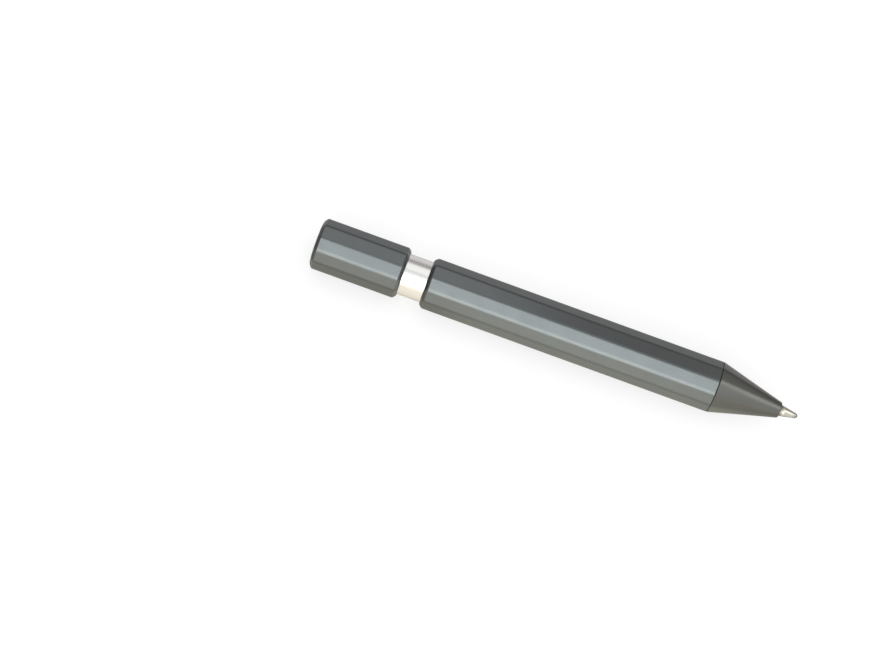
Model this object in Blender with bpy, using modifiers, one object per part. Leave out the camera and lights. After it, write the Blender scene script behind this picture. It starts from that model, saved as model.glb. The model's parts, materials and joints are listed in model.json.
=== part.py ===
"""A retractable pen with a twelve-sided body.

The rear cap twists half a turn on a polished neck. A cam tube inside it drives a cross pin along
two straight slots, and the pin's follower lets the refill slide back into the nose.

The pen lies along X on one of its facets, point towards +X, with the origin under its middle.
The pieces are modelled on a long axis of their own: stations run along local Z from the tail.
"""

from math import acos, asin, atan, ceil, cos, pi, radians, sin, tan

import bmesh
import bpy
from mathutils import Matrix, Vector

# Outer form
FACETS = 12
SHELL_WALL = 0.0012
EDGE_BEVEL = 0.00042
TAIL_FILLET = 0.0016
RIM_LAND = 0.0002
SEAM_CHAMFER = 0.00015
CAP_LENGTH = 0.0235
NECK_GAP = 0.0062
BARREL_LENGTH = 0.0779
NOSE_LENGTH = 0.0175
NOSE_ROUND_SHARE = 0.62
NOSE_END_WALL = 0.00045
NOSE_END_FILLET = 0.0002

# Refill and point
REFILL_DIAMETER = 0.0058
TUBE_WALL = 0.00045
TIP_DIAMETER = 0.003
TIP_CONE_BASE = 0.00275
TIP_CONE_LENGTH = 0.0035
TIP_REACH = 0.0048
RETRACTED_DEPTH = 0.001
BALL_DIAMETER = 0.001
BALL_REACH = 0.00035
BALL_CLEARANCE = 0.00003
SOCKET_LIP = 0.0001
INK_CHANNEL = 0.0007
TIP_SPIGOT_DIAMETER = 0.0022
TIP_SPIGOT_LENGTH = 0.004
COLLAR_STEM_WALL = 0.0007
COLLAR_STEM_LENGTH = 0.0085
COLLAR_HEAD_LENGTH = 0.003
COLLAR_SPIGOT_LENGTH = 0.005
PLUG_FLANGE = 0.0012
PLUG_SPIGOT_LENGTH = 0.004
PLUG_VENT = 0.0008

# Nose and return spring
NOSE_LAND = 0.0085
NOSE_BORE_CLEARANCE = 0.0003
TIP_CLEARANCE = 0.00015
SPIGOT_WALL = 0.0011
SPIGOT_LENGTH = 0.01
COLLAR_TO_SEAT = 0.0005
SPRING_WIRE = 0.0004
SPRING_TURNS = 8
SPRING_POINTS_PER_TURN = 10
BUSH_LENGTH = 0.011
NOSE_RING_SECTION = 0.0009
NOSE_RING_ROOM = 0.0014

# Twist mechanism
NECK_WALL = 0.0007
NECK_DEPTH = 0.008
NECK_CHAMFER = 0.0002
CAM_WALL = 0.00075
CAM_REAR_LAND = 0.0116
GUIDE_WALL = 0.00065
GUIDE_FLANGE = 0.003
GUIDE_FLANGE_SETBACK = 0.002
GUIDE_TAIL = 0.0009
FOLLOWER_REACH = 0.01
FOLLOWER_TAIL = 0.006
PIN_DIAMETER = 0.0012
PIN_END_SETBACK = 0.00015
TWIST_ANGLE = pi
CAP_END_WALL = 0.002
CAP_END_ROOM = 0.0008
INSERT_LENGTH = 0.006
FRICTION_RING_SECTION = 0.00076
WASHER_THICKNESS = 0.0003
RETAINER_THICKNESS = 0.0005
RETAINER_GROOVE = 0.00035
RETAINER_GAP = 0.0016

# Clearances between pieces
RUNNING_FIT = 0.0001
PRESS_GAP = 0.0001
FACE_GAP = 0.0001
SLOT_CLEARANCE = 0.0001

# Mesh fineness
ROUND_STEPS = 32
BALL_STEPS = 16
SEAT_STEPS = 6
PIN_STEPS = 16
FILLET_SEGMENTS = 3
RING_SECTION_POINTS = 10
SMOOTH_ANGLE = radians(12)
MERGE_DISTANCE = 0.000001
CUT_PAST = 0.001

# Radii, worked out from the refill outwards
REFILL_RADIUS = REFILL_DIAMETER / 2
TUBE_BORE = REFILL_RADIUS - TUBE_WALL
FOLLOWER_RADIUS = REFILL_RADIUS + PRESS_GAP
GUIDE_BORE = FOLLOWER_RADIUS + RUNNING_FIT
GUIDE_RADIUS = GUIDE_BORE + GUIDE_WALL
CAM_BORE = GUIDE_RADIUS + RUNNING_FIT
CAM_RADIUS = CAM_BORE + CAM_WALL
NECK_BORE = CAM_RADIUS + RUNNING_FIT
NECK_RADIUS = NECK_BORE + NECK_WALL
SHELL_BORE = NECK_RADIUS + RUNNING_FIT
ACROSS_FLATS = 2 * (SHELL_BORE + SHELL_WALL)
RIM_FILLET = SHELL_WALL - RIM_LAND
TIP_RADIUS = TIP_DIAMETER / 2
TIP_SPIGOT_RADIUS = TIP_SPIGOT_DIAMETER / 2
COLLAR_BORE = TIP_SPIGOT_RADIUS + PRESS_GAP
COLLAR_STEM = COLLAR_BORE + COLLAR_STEM_WALL
NOSE_BORE = REFILL_RADIUS + NOSE_BORE_CLEARANCE
NOSE_LAND_BORE = TIP_RADIUS + TIP_CLEARANCE
NOSE_END_RADIUS = NOSE_LAND_BORE + NOSE_END_WALL
SPIGOT_RADIUS = NOSE_BORE + SPIGOT_WALL
BUSH_BORE = SPIGOT_RADIUS + PRESS_GAP
PRESSED_RADIUS = SHELL_BORE - PRESS_GAP
BALL_RADIUS = BALL_DIAMETER / 2
SPRING_RADIUS = (COLLAR_STEM + NOSE_BORE) / 2

# Stations along the pen, worked out from the tail
CAP_FRONT = CAP_LENGTH
BARREL_REAR = CAP_FRONT + NECK_GAP
NOSE_REAR = BARREL_REAR + BARREL_LENGTH
BARREL_FRONT = NOSE_REAR - FACE_GAP
NOSE_FRONT = NOSE_REAR + NOSE_LENGTH
TIP_END = NOSE_FRONT + TIP_REACH
TRAVEL = TIP_REACH + RETRACTED_DEPTH
GUIDE_REAR = CAP_END_WALL + CAP_END_ROOM
RETAINER_REAR = GUIDE_REAR + GUIDE_TAIL
RETAINER_FRONT = RETAINER_REAR + RETAINER_THICKNESS
REAR_WASHER = RETAINER_FRONT + FACE_GAP
CAM_REAR = REAR_WASHER + WASHER_THICKNESS + FACE_GAP
PIN_STATION = CAM_REAR + CAM_REAR_LAND + TRAVEL
INSERT_REAR = CAP_END_WALL + FACE_GAP
INSERT_FRONT = INSERT_REAR + INSERT_LENGTH
FRICTION_STATION = INSERT_FRONT + FACE_GAP + FRICTION_RING_SECTION / 2
NECK_REAR = FRICTION_STATION + FRICTION_RING_SECTION / 2 + FACE_GAP
NECK_FRONT = BARREL_REAR + NECK_DEPTH
FLANGE_FRONT = NECK_FRONT - GUIDE_FLANGE_SETBACK
FLANGE_REAR = FLANGE_FRONT - GUIDE_FLANGE
FRONT_WASHER = FLANGE_REAR - FACE_GAP - WASHER_THICKNESS
CAM_FRONT = FRONT_WASHER - FACE_GAP
FOLLOWER_FRONT = PIN_STATION + FOLLOWER_REACH
FOLLOWER_REAR = PIN_STATION - FOLLOWER_TAIL
PLUG_REAR = FOLLOWER_FRONT + FACE_GAP
TUBE_REAR = PLUG_REAR + PLUG_FLANGE + FACE_GAP
NOSE_SEAT = NOSE_FRONT - NOSE_LAND
COLLAR_FRONT = NOSE_SEAT - COLLAR_TO_SEAT
COLLAR_SHOULDER = COLLAR_FRONT - COLLAR_STEM_LENGTH
COLLAR_REAR = COLLAR_SHOULDER - COLLAR_HEAD_LENGTH
TUBE_FRONT = COLLAR_REAR - FACE_GAP
TIP_SHANK_REAR = COLLAR_FRONT + FACE_GAP
SOCKET_FRONT = TIP_END - BALL_REACH
TIP_CONE_REAR = SOCKET_FRONT - TIP_CONE_LENGTH
BALL_STATION = TIP_END - BALL_RADIUS
BUSH_FRONT = BARREL_FRONT - NOSE_RING_ROOM
NOSE_RING_STATION = (BUSH_FRONT + NOSE_REAR) / 2


def clear_scene():
    """Remove every object that is in the scene."""
    for thing in list(bpy.data.objects):
        bpy.data.objects.remove(thing, do_unlink=True)


def new_collection(name):
    """A collection linked into the scene."""
    collection = bpy.data.collections.new(name)
    bpy.context.scene.collection.children.link(collection)
    return collection


clear_scene()
PARTS = new_collection("retractable_pen")
CUTTERS = new_collection("retractable_pen_cutters")


def axis_empty(name, parent, location, rotation=(0, 0, 0)):
    """An empty that carries the pieces of one moving body."""
    empty = bpy.data.objects.new(name, None)
    empty.empty_display_size = ACROSS_FLATS
    empty.location = location
    empty.rotation_euler = rotation
    empty.parent = parent
    PARTS.objects.link(empty)
    return empty


PEN_AXIS = axis_empty("pen_axis", None, (-TIP_END / 2, 0, ACROSS_FLATS / 2), (0, pi / 2, 0))
CAP_AXIS = axis_empty("cap_axis", PEN_AXIS, (0, 0, 0))
REFILL_AXIS = axis_empty("refill_axis", PEN_AXIS, (0, 0, 0))
BALL_AXIS = axis_empty("ball_axis", REFILL_AXIS, (0, 0, BALL_STATION))


def principled(name, colour, roughness, metallic):
    """A material with one Principled shader."""
    material = bpy.data.materials.new(name)
    material.use_nodes = True
    shader = material.node_tree.nodes["Principled BSDF"]
    shader.inputs["Base Color"].default_value = (*colour, 1)
    shader.inputs["Roughness"].default_value = roughness
    shader.inputs["Metallic"].default_value = metallic
    material.diffuse_color = (*colour, 1)
    return material


def lacquer(name):
    """Dark grey satin lacquer on metal."""
    return principled(name, (0.11, 0.115, 0.118), 0.38, 0.55)


def chrome(name):
    """Polished plating."""
    return principled(name, (0.82, 0.81, 0.79), 0.08, 1)


def brass(name):
    """Bare turned brass."""
    return principled(name, (0.66, 0.5, 0.22), 0.3, 1)


def steel(name):
    """Bright spring or pin steel."""
    return principled(name, (0.62, 0.63, 0.64), 0.28, 1)


def nickel_silver(name):
    """Pale, slightly warm metal of a writing point."""
    return principled(name, (0.74, 0.69, 0.58), 0.22, 1)


def nylon(name):
    """Off-white plastic."""
    return principled(name, (0.78, 0.76, 0.7), 0.5, 0)


def rubber(name):
    """Black ring rubber."""
    return principled(name, (0.02, 0.02, 0.02), 0.8, 0)


def add_object(name, data, parent, material):
    """Put a piece under its axis, with a material of its own."""
    piece = bpy.data.objects.new(name, data)
    piece.parent = parent
    data.materials.append(material(name))
    PARTS.objects.link(piece)
    return piece


def add_cutter(name, mesh, parent):
    """A hidden tool that only cuts or joins other pieces."""
    cutter = bpy.data.objects.new(name, mesh)
    cutter.parent = parent
    cutter.hide_render = True
    cutter.display_type = "WIRE"
    CUTTERS.objects.link(cutter)
    return cutter


def finished_mesh(bm, name):
    """Turn a bmesh into a mesh with outward faces."""
    bmesh.ops.recalc_face_normals(bm, faces=bm.faces)
    mesh = bpy.data.meshes.new(name)
    bm.to_mesh(mesh)
    bm.free()
    return mesh


def profile_mesh(name, profile):
    """The outline of a turned piece, as (radius, station) points down its outer side."""
    bm = bmesh.new()
    points = [bm.verts.new((radius, 0, station)) for radius, station in profile]
    for first, second in zip(points, points[1:]):
        bm.edges.new((first, second))
    if profile[0][0] > 0:
        bm.edges.new((points[-1], points[0]))
    mesh = bpy.data.meshes.new(name)
    bm.to_mesh(mesh)
    bm.free()
    return mesh


def add_screw(piece, steps=ROUND_STEPS):
    """Turn a profile about the pen's axis."""
    screw = piece.modifiers.new("Screw", "SCREW")
    screw.steps = steps
    screw.render_steps = steps
    screw.use_merge_vertices = True
    screw.merge_threshold = MERGE_DISTANCE


def turned(name, profile, parent, material, steps=ROUND_STEPS):
    """A turned piece."""
    piece = add_object(name, profile_mesh(name, profile), parent, material)
    add_screw(piece, steps)
    return piece


def turned_cutter(name, profile, parent):
    """A turned tool."""
    cutter = add_cutter(name, profile_mesh(name, profile), parent)
    add_screw(cutter)
    return cutter


def tube_profile(outer, inner, rear, front):
    """A plain tube, as (radius, station) points."""
    return [(outer, front), (outer, rear), (inner, rear), (inner, front)]


def rod_profile(radius, rear, front):
    """A plain solid rod, as (radius, station) points."""
    return [(0, front), (radius, front), (radius, rear), (0, rear)]


def ring_profile(radius, section, station):
    """The round section of a rubber ring."""
    steps = [2 * pi * step / RING_SECTION_POINTS for step in range(RING_SECTION_POINTS)]
    return [(radius + section / 2 * cos(angle), station - section / 2 * sin(angle)) for angle in steps]


def boolean(piece, tool, operation="DIFFERENCE"):
    """Cut or join a piece with a tool."""
    modifier = piece.modifiers.new(tool.name, "BOOLEAN")
    modifier.operation = operation
    modifier.object = tool


def faceted_blank(name, rear, front, fillets, parent, material):
    """A faceted prism with rounded edges, one facet facing down.

    fillets holds the rear and the front value.
    """
    bm = bmesh.new()
    to_corner = ACROSS_FLATS / 2 / cos(pi / FACETS)
    place = Matrix.Translation((0, 0, (rear + front) / 2)) @ Matrix.Rotation(pi / FACETS, 4, "Z")
    bmesh.ops.create_cone(bm, cap_ends=True, segments=FACETS, radius1=to_corner, radius2=to_corner,
                          depth=front - rear, matrix=place)
    widest = max(EDGE_BEVEL, *fillets)
    weight = bm.edges.layers.float.new("bevel_weight_edge")
    middle = (rear + front) / 2
    for edge in bm.edges:
        ends_at_front = [corner.co.z > middle for corner in edge.verts]
        if all(ends_at_front):
            width = fillets[1]
        elif any(ends_at_front):
            width = EDGE_BEVEL
        else:
            width = fillets[0]
        edge[weight] = width / widest
    blank = add_object(name, finished_mesh(bm, name), parent, material)
    bevel = blank.modifiers.new("Bevel", "BEVEL")
    bevel.limit_method = "WEIGHT"
    bevel.width = widest
    bevel.segments = FILLET_SEGMENTS
    bevel.use_clamp_overlap = False
    return blank


def section_ring(bm, station, half_flats, is_round):
    """A ring of points with eased corners, on a faceted section or on a circle."""
    ease = atan(tan(pi / FACETS) - 2 * EDGE_BEVEL / ACROSS_FLATS)
    ring = []
    for facet in range(FACETS):
        for share in (-1, -1 / 3, 1 / 3, 1):
            radius = half_flats if is_round else half_flats / cos(share * ease)
            angle = 2 * pi * facet / FACETS + share * ease
            ring.append(bm.verts.new((radius * cos(angle), radius * sin(angle), station)))
    return ring


def nose_blank():
    """The outer form of the nose: faceted at the barrel, and round for the last part of its taper."""
    rear_radius = ACROSS_FLATS / 2
    turn = NOSE_REAR + NOSE_ROUND_SHARE * NOSE_LENGTH
    turn_radius = rear_radius + NOSE_ROUND_SHARE * (NOSE_END_RADIUS - rear_radius)
    bm = bmesh.new()
    rings = [
        section_ring(bm, NOSE_REAR, rear_radius - SEAM_CHAMFER, False),
        section_ring(bm, NOSE_REAR + SEAM_CHAMFER, rear_radius, False),
        section_ring(bm, turn, turn_radius, True),
        section_ring(bm, NOSE_FRONT - NOSE_END_FILLET, NOSE_END_RADIUS, True),
        section_ring(bm, NOSE_FRONT, NOSE_END_RADIUS - NOSE_END_FILLET, True),
    ]
    for first, second in zip(rings, rings[1:]):
        for index in range(len(first)):
            bm.faces.new((first[index - 1], first[index], second[index], second[index - 1]))
    bmesh.ops.triangulate(bm, faces=bm.faces)
    bm.faces.new(rings[0])
    bm.faces.new(rings[-1])
    return add_object("nose_cone", finished_mesh(bm, "nose_cone"), PEN_AXIS, lacquer)


def make_twist_cap():
    """Rear shell: closed at the tail, bored from the front to turn on the neck."""
    cap = faceted_blank("twist_cap", 0, CAP_FRONT, (TAIL_FILLET, RIM_FILLET), CAP_AXIS, lacquer)
    bore = turned_cutter("cap_bore", rod_profile(SHELL_BORE, CAP_END_WALL, CAP_FRONT + CUT_PAST), CAP_AXIS)
    boolean(cap, bore)


def make_barrel():
    """Long faceted tube in line with the cap."""
    barrel = faceted_blank("barrel", BARREL_REAR, BARREL_FRONT, (RIM_FILLET, SEAM_CHAMFER),
                           PEN_AXIS, lacquer)
    profile = rod_profile(SHELL_BORE, BARREL_REAR - CUT_PAST, BARREL_FRONT + CUT_PAST)
    boolean(barrel, turned_cutter("barrel_bore", profile, PEN_AXIS))


def make_nose_cone():
    """Tapering end whose facets fade out, with a spigot for the barrel and a seat for the spring."""
    nose = nose_blank()
    spigot = rod_profile(SPIGOT_RADIUS, NOSE_REAR - SPIGOT_LENGTH, NOSE_REAR + CUT_PAST)
    boolean(nose, turned_cutter("nose_spigot", spigot, PEN_AXIS), "UNION")
    bore = [
        (0, NOSE_FRONT + CUT_PAST),
        (NOSE_LAND_BORE, NOSE_FRONT + CUT_PAST),
        (NOSE_LAND_BORE, NOSE_SEAT),
        (NOSE_BORE, NOSE_SEAT),
        (NOSE_BORE, NOSE_REAR - SPIGOT_LENGTH - CUT_PAST),
        (0, NOSE_REAR - SPIGOT_LENGTH - CUT_PAST),
    ]
    boolean(nose, turned_cutter("nose_bore", bore, PEN_AXIS))


def make_front_bush():
    """Bush in the barrel's front end that the nose screws into."""
    profile = tube_profile(PRESSED_RADIUS, BUSH_BORE, BUSH_FRONT - BUSH_LENGTH, BUSH_FRONT)
    turned("front_bush", profile, PEN_AXIS, brass)


def make_nose_o_ring():
    """Rubber ring squeezed between bush and nose."""
    radius = (SPIGOT_RADIUS + SHELL_BORE) / 2
    turned("nose_o_ring", ring_profile(radius, NOSE_RING_SECTION, NOSE_RING_STATION), PEN_AXIS, rubber)


def make_neck_sleeve():
    """Polished sleeve, pressed into the barrel and the bearing of the cap."""
    profile = [
        (NECK_RADIUS - NECK_CHAMFER, NECK_FRONT),
        (NECK_RADIUS, NECK_FRONT - NECK_CHAMFER),
        (NECK_RADIUS, NECK_REAR + NECK_CHAMFER),
        (NECK_RADIUS - NECK_CHAMFER, NECK_REAR),
        (NECK_BORE, NECK_REAR),
        (NECK_BORE, NECK_FRONT),
    ]
    turned("neck_sleeve", profile, PEN_AXIS, chrome)


def make_guide_tube():
    """Fixed tube with a flange in the neck, a retainer groove and two straight slots."""
    groove = GUIDE_RADIUS - RETAINER_GROOVE
    profile = [
        (GUIDE_RADIUS, NECK_FRONT),
        (GUIDE_RADIUS, FLANGE_FRONT),
        (NECK_BORE - PRESS_GAP, FLANGE_FRONT),
        (NECK_BORE - PRESS_GAP, FLANGE_REAR),
        (GUIDE_RADIUS, FLANGE_REAR),
        (GUIDE_RADIUS, RETAINER_FRONT + FACE_GAP / 2),
        (groove, RETAINER_FRONT + FACE_GAP / 2),
        (groove, RETAINER_REAR - FACE_GAP),
        (GUIDE_RADIUS, RETAINER_REAR - FACE_GAP),
        (GUIDE_RADIUS, GUIDE_REAR),
        (GUIDE_BORE, GUIDE_REAR),
        (GUIDE_BORE, NECK_FRONT),
    ]
    guide = turned("guide_tube", profile, PEN_AXIS, brass)
    half_width = PIN_DIAMETER / 2 + SLOT_CLEARANCE
    size = (2 * CAM_BORE, 2 * half_width, TRAVEL + 2 * half_width)
    bm = bmesh.new()
    place = Matrix.LocRotScale(Vector((0, 0, PIN_STATION - TRAVEL / 2)), None, Vector(size))
    bmesh.ops.create_cube(bm, size=1, matrix=place)
    boolean(guide, add_cutter("guide_slots", finished_mesh(bm, "guide_slots"), PEN_AXIS))


def helical_cutter(name, start_angle):
    """A square bar wound along the path that the pin takes in the cam tube."""
    climb = TRAVEL / TWIST_ANGLE
    half_width = (PIN_DIAMETER / 2 + SLOT_CLEARANCE) * (1 + (climb / CAM_BORE) ** 2) ** 0.5
    over_run = (PIN_DIAMETER / 2 + SLOT_CLEARANCE) / CAM_BORE
    sweep = TWIST_ANGLE + 2 * over_run
    steps = ceil(ROUND_STEPS * sweep / (2 * pi))
    low = CAM_BORE - RUNNING_FIT / 2
    high = CAM_RADIUS + RUNNING_FIT / 2
    start = PIN_STATION - TRAVEL - climb * over_run
    outline = [(low, -half_width), (high, -half_width), (high, half_width), (low, half_width)]
    bm = bmesh.new()
    points = [bm.verts.new((radius, 0, start + offset)) for radius, offset in outline]
    edges = [bm.edges.new(pair) for pair in zip(points, points[1:] + points[:1])]
    bmesh.ops.rotate(bm, verts=points, matrix=Matrix.Rotation(start_angle - over_run, 3, "Z"))
    bmesh.ops.spin(bm, geom=edges, cent=(0, 0, 0), axis=(0, 0, 1), angle=sweep, steps=steps,
                   dvec=(0, 0, climb * sweep / steps))
    open_edges = [edge for edge in bm.edges if edge.is_boundary]
    bmesh.ops.holes_fill(bm, edges=open_edges, sides=4)
    return add_cutter(name, finished_mesh(bm, name), CAP_AXIS)


def make_cam_tube():
    """Turning tube whose two helical slots drive the pin."""
    cam = turned("cam_tube", tube_profile(CAM_RADIUS, CAM_BORE, CAM_REAR, CAM_FRONT), CAP_AXIS, brass)
    for number, side in enumerate((0, pi)):
        boolean(cam, helical_cutter(f"cam_slot_{number + 1}", side - TWIST_ANGLE))


def make_cap_insert():
    """Ring that ties the cap to the cam tube."""
    profile = tube_profile(PRESSED_RADIUS, CAM_RADIUS + PRESS_GAP, INSERT_REAR, INSERT_FRONT)
    turned("cap_insert", profile, CAP_AXIS, brass)


def make_friction_ring():
    """Rubber ring between insert and neck, for an even drag."""
    radius = (CAM_RADIUS + SHELL_BORE) / 2
    turned("friction_ring", ring_profile(radius, FRICTION_RING_SECTION, FRICTION_STATION), CAP_AXIS, rubber)


def make_thrust_washers():
    """Thin washers at both ends of the cam tube."""
    for name, rear in (("rear_thrust_washer", REAR_WASHER), ("front_thrust_washer", FRONT_WASHER)):
        profile = tube_profile(CAM_RADIUS, CAM_BORE, rear, rear + WASHER_THICKNESS)
        turned(name, profile, PEN_AXIS, nylon)


def make_retaining_ring():
    """Split ring in the groove of the guide tube."""
    inner = GUIDE_RADIUS - RETAINER_GROOVE + PRESS_GAP
    ring = turned("retaining_ring", tube_profile(CAM_RADIUS, inner, RETAINER_REAR, RETAINER_FRONT),
                  PEN_AXIS, steel)
    bm = bmesh.new()
    size = Vector((2 * CAM_RADIUS, RETAINER_GAP, 2 * RETAINER_THICKNESS))
    centre = Vector((CAM_RADIUS, 0, (RETAINER_REAR + RETAINER_FRONT) / 2))
    bmesh.ops.create_cube(bm, size=1, matrix=Matrix.LocRotScale(centre, None, size))
    boolean(ring, add_cutter("retaining_ring_gap", finished_mesh(bm, "retaining_ring_gap"), PEN_AXIS))


def cross_rod(radius, half_length):
    """A round bar across the pen at the pin's station."""
    bm = bmesh.new()
    place = Matrix.Translation((0, 0, PIN_STATION)) @ Matrix.Rotation(pi / 2, 4, "Y")
    bmesh.ops.create_cone(bm, cap_ends=True, segments=PIN_STEPS, radius1=radius, radius2=radius,
                          depth=2 * half_length, matrix=place)
    return bm


def make_follower():
    """Plug that slides in the guide tube behind the refill, with a hole for the pin."""
    profile = rod_profile(FOLLOWER_RADIUS, FOLLOWER_REAR, FOLLOWER_FRONT)
    follower = turned("follower", profile, REFILL_AXIS, nylon)
    hole = cross_rod(PIN_DIAMETER / 2 + PRESS_GAP, CAM_RADIUS)
    boolean(follower, add_cutter("follower_hole", finished_mesh(hole, "follower_hole"), REFILL_AXIS))


def make_follower_pin():
    """Cross pin that reaches through the straight slots into the helical ones."""
    pin = cross_rod(PIN_DIAMETER / 2, CAM_RADIUS - PIN_END_SETBACK)
    add_object("follower_pin", finished_mesh(pin, "follower_pin"), REFILL_AXIS, steel)


def make_refill_plug():
    """Vented plug at the back of the ink tube."""
    flange_front = PLUG_REAR + PLUG_FLANGE
    spigot_front = flange_front + PLUG_SPIGOT_LENGTH
    profile = [
        (TUBE_BORE - PRESS_GAP, spigot_front),
        (TUBE_BORE - PRESS_GAP, flange_front),
        (REFILL_RADIUS, flange_front),
        (REFILL_RADIUS, PLUG_REAR),
        (PLUG_VENT / 2, PLUG_REAR),
        (PLUG_VENT / 2, spigot_front),
    ]
    turned("refill_plug", profile, REFILL_AXIS, nylon)


def make_ink_tube():
    """Straight reservoir of the refill."""
    turned("ink_tube", tube_profile(REFILL_RADIUS, TUBE_BORE, TUBE_REAR, TUBE_FRONT), REFILL_AXIS, brass)


def make_refill_collar():
    """Adaptor from tube to point; its shoulder carries the return spring."""
    profile = [
        (COLLAR_STEM, COLLAR_FRONT),
        (COLLAR_STEM, COLLAR_SHOULDER),
        (REFILL_RADIUS, COLLAR_SHOULDER),
        (REFILL_RADIUS, COLLAR_REAR),
        (TUBE_BORE - PRESS_GAP, COLLAR_REAR),
        (TUBE_BORE - PRESS_GAP, COLLAR_REAR - COLLAR_SPIGOT_LENGTH),
        (COLLAR_BORE, COLLAR_REAR - COLLAR_SPIGOT_LENGTH),
        (COLLAR_BORE, COLLAR_FRONT),
    ]
    turned("refill_collar", profile, REFILL_AXIS, nylon)


def make_tip_socket():
    """Conical writing point, hollowed for the ball and the ink."""
    seat = BALL_RADIUS + BALL_CLEARANCE
    channel = INK_CHANNEL / 2
    first = asin(channel / seat)
    last = acos((BALL_STATION - SOCKET_FRONT) / seat)
    angles = [first + (last - first) * step / SEAT_STEPS for step in range(SEAT_STEPS + 1)]
    seat_arc = [(seat * sin(angle), BALL_STATION - seat * cos(angle)) for angle in angles]
    lip_bore = seat_arc[-1][0]
    step = TIP_RADIUS - TIP_CONE_BASE / 2
    profile = [
        (lip_bore + SOCKET_LIP, SOCKET_FRONT),
        (TIP_CONE_BASE / 2, TIP_CONE_REAR),
        (TIP_RADIUS, TIP_CONE_REAR - step),
        (TIP_RADIUS, TIP_SHANK_REAR),
        (TIP_SPIGOT_RADIUS, TIP_SHANK_REAR),
        (TIP_SPIGOT_RADIUS, TIP_SHANK_REAR - TIP_SPIGOT_LENGTH),
        (channel, TIP_SHANK_REAR - TIP_SPIGOT_LENGTH),
        *seat_arc,
    ]
    turned("tip_socket", profile, REFILL_AXIS, nickel_silver)


def make_writing_ball():
    """Ball that rolls in the socket."""
    bm = bmesh.new()
    bmesh.ops.create_uvsphere(bm, u_segments=BALL_STEPS, v_segments=BALL_STEPS // 2, radius=BALL_RADIUS)
    add_object("writing_ball", finished_mesh(bm, "writing_ball"), BALL_AXIS, steel)


def least_gap(points, diameter, points_per_turn):
    """The smallest gap that a wound wire leaves to itself."""
    apart = points_per_turn // 2
    gaps = [
        (second - first).length - diameter
        for index, first in enumerate(points)
        for second in points[index + apart:]
    ]
    return min(gaps)


def make_return_spring():
    """Wound wire between the collar's shoulder and the seat in the nose."""
    start = COLLAR_SHOULDER + FACE_GAP + SPRING_WIRE / 2
    end = NOSE_SEAT - FACE_GAP - SPRING_WIRE / 2
    count = SPRING_TURNS * SPRING_POINTS_PER_TURN
    points = []
    for step in range(count + 1):
        angle = 2 * pi * step / SPRING_POINTS_PER_TURN
        station = start + (end - start) * step / count
        points.append(Vector((SPRING_RADIUS * cos(angle), SPRING_RADIUS * sin(angle), station)))
    curve = bpy.data.curves.new("return_spring", "CURVE")
    curve.dimensions = "3D"
    curve.bevel_depth = SPRING_WIRE / 2
    curve.bevel_resolution = 1
    curve.use_fill_caps = True
    spline = curve.splines.new("POLY")
    spline.points.add(len(points) - 1)
    for target, point in zip(spline.points, points):
        target.co = (*point, 1)
    add_object("return_spring", curve, PEN_AXIS, steel)
    gap = least_gap(points, SPRING_WIRE, SPRING_POINTS_PER_TURN)
    print(f"return_spring: least gap between turns {gap * 1000:.2f} mm")


def finish_meshes():
    """Bake each piece's modifiers and shade its round faces smooth."""
    bpy.context.view_layer.update()
    depsgraph = bpy.context.evaluated_depsgraph_get()
    pieces = [piece for piece in PARTS.objects if piece.type == "MESH"]
    baked = [bpy.data.meshes.new_from_object(piece.evaluated_get(depsgraph)) for piece in pieces]
    for piece, mesh in zip(pieces, baked):
        piece.modifiers.clear()
        piece.data = mesh
        mesh.shade_smooth()
        mesh.set_sharp_from_angle(angle=SMOOTH_ANGLE)


make_twist_cap()
make_cap_insert()
make_cam_tube()
make_friction_ring()
make_neck_sleeve()
make_guide_tube()
make_thrust_washers()
make_retaining_ring()
make_follower()
make_follower_pin()
make_barrel()
make_front_bush()
make_nose_cone()
make_nose_o_ring()
make_return_spring()
make_refill_plug()
make_ink_tube()
make_refill_collar()
make_tip_socket()
make_writing_ball()
finish_meshes()
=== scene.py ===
# %% [markdown]
# # A faceted retractable pen
# The pen is a dark, twelve-sided body in three lengths: a rear cap that twists, a long barrel and a
# tapering nose. A polished neck shows between cap and barrel, and the refill's point stands out in front.
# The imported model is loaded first. It fixes every size and place, so each new piece is measured from it.

# %% Load the frame
import json
import math

import bmesh
import bpy
from mathutils import Matrix, Vector


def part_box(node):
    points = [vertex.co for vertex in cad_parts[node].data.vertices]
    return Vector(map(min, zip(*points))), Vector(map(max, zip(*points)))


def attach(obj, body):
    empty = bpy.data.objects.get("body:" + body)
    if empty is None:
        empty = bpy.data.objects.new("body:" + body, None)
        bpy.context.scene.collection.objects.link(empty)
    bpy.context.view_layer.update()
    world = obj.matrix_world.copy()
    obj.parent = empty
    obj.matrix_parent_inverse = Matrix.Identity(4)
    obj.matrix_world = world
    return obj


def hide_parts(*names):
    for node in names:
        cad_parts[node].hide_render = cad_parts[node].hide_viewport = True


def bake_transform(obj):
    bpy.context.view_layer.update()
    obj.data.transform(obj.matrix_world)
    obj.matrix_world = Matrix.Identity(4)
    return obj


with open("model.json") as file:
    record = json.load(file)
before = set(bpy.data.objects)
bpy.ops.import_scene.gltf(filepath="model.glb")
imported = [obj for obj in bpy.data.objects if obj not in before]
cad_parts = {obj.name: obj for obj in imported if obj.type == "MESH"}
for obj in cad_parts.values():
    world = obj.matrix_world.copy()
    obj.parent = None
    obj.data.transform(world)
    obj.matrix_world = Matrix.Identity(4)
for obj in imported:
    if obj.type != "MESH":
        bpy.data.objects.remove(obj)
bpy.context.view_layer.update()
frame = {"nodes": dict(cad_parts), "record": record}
print("nodes:", len(frame["nodes"]))

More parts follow.
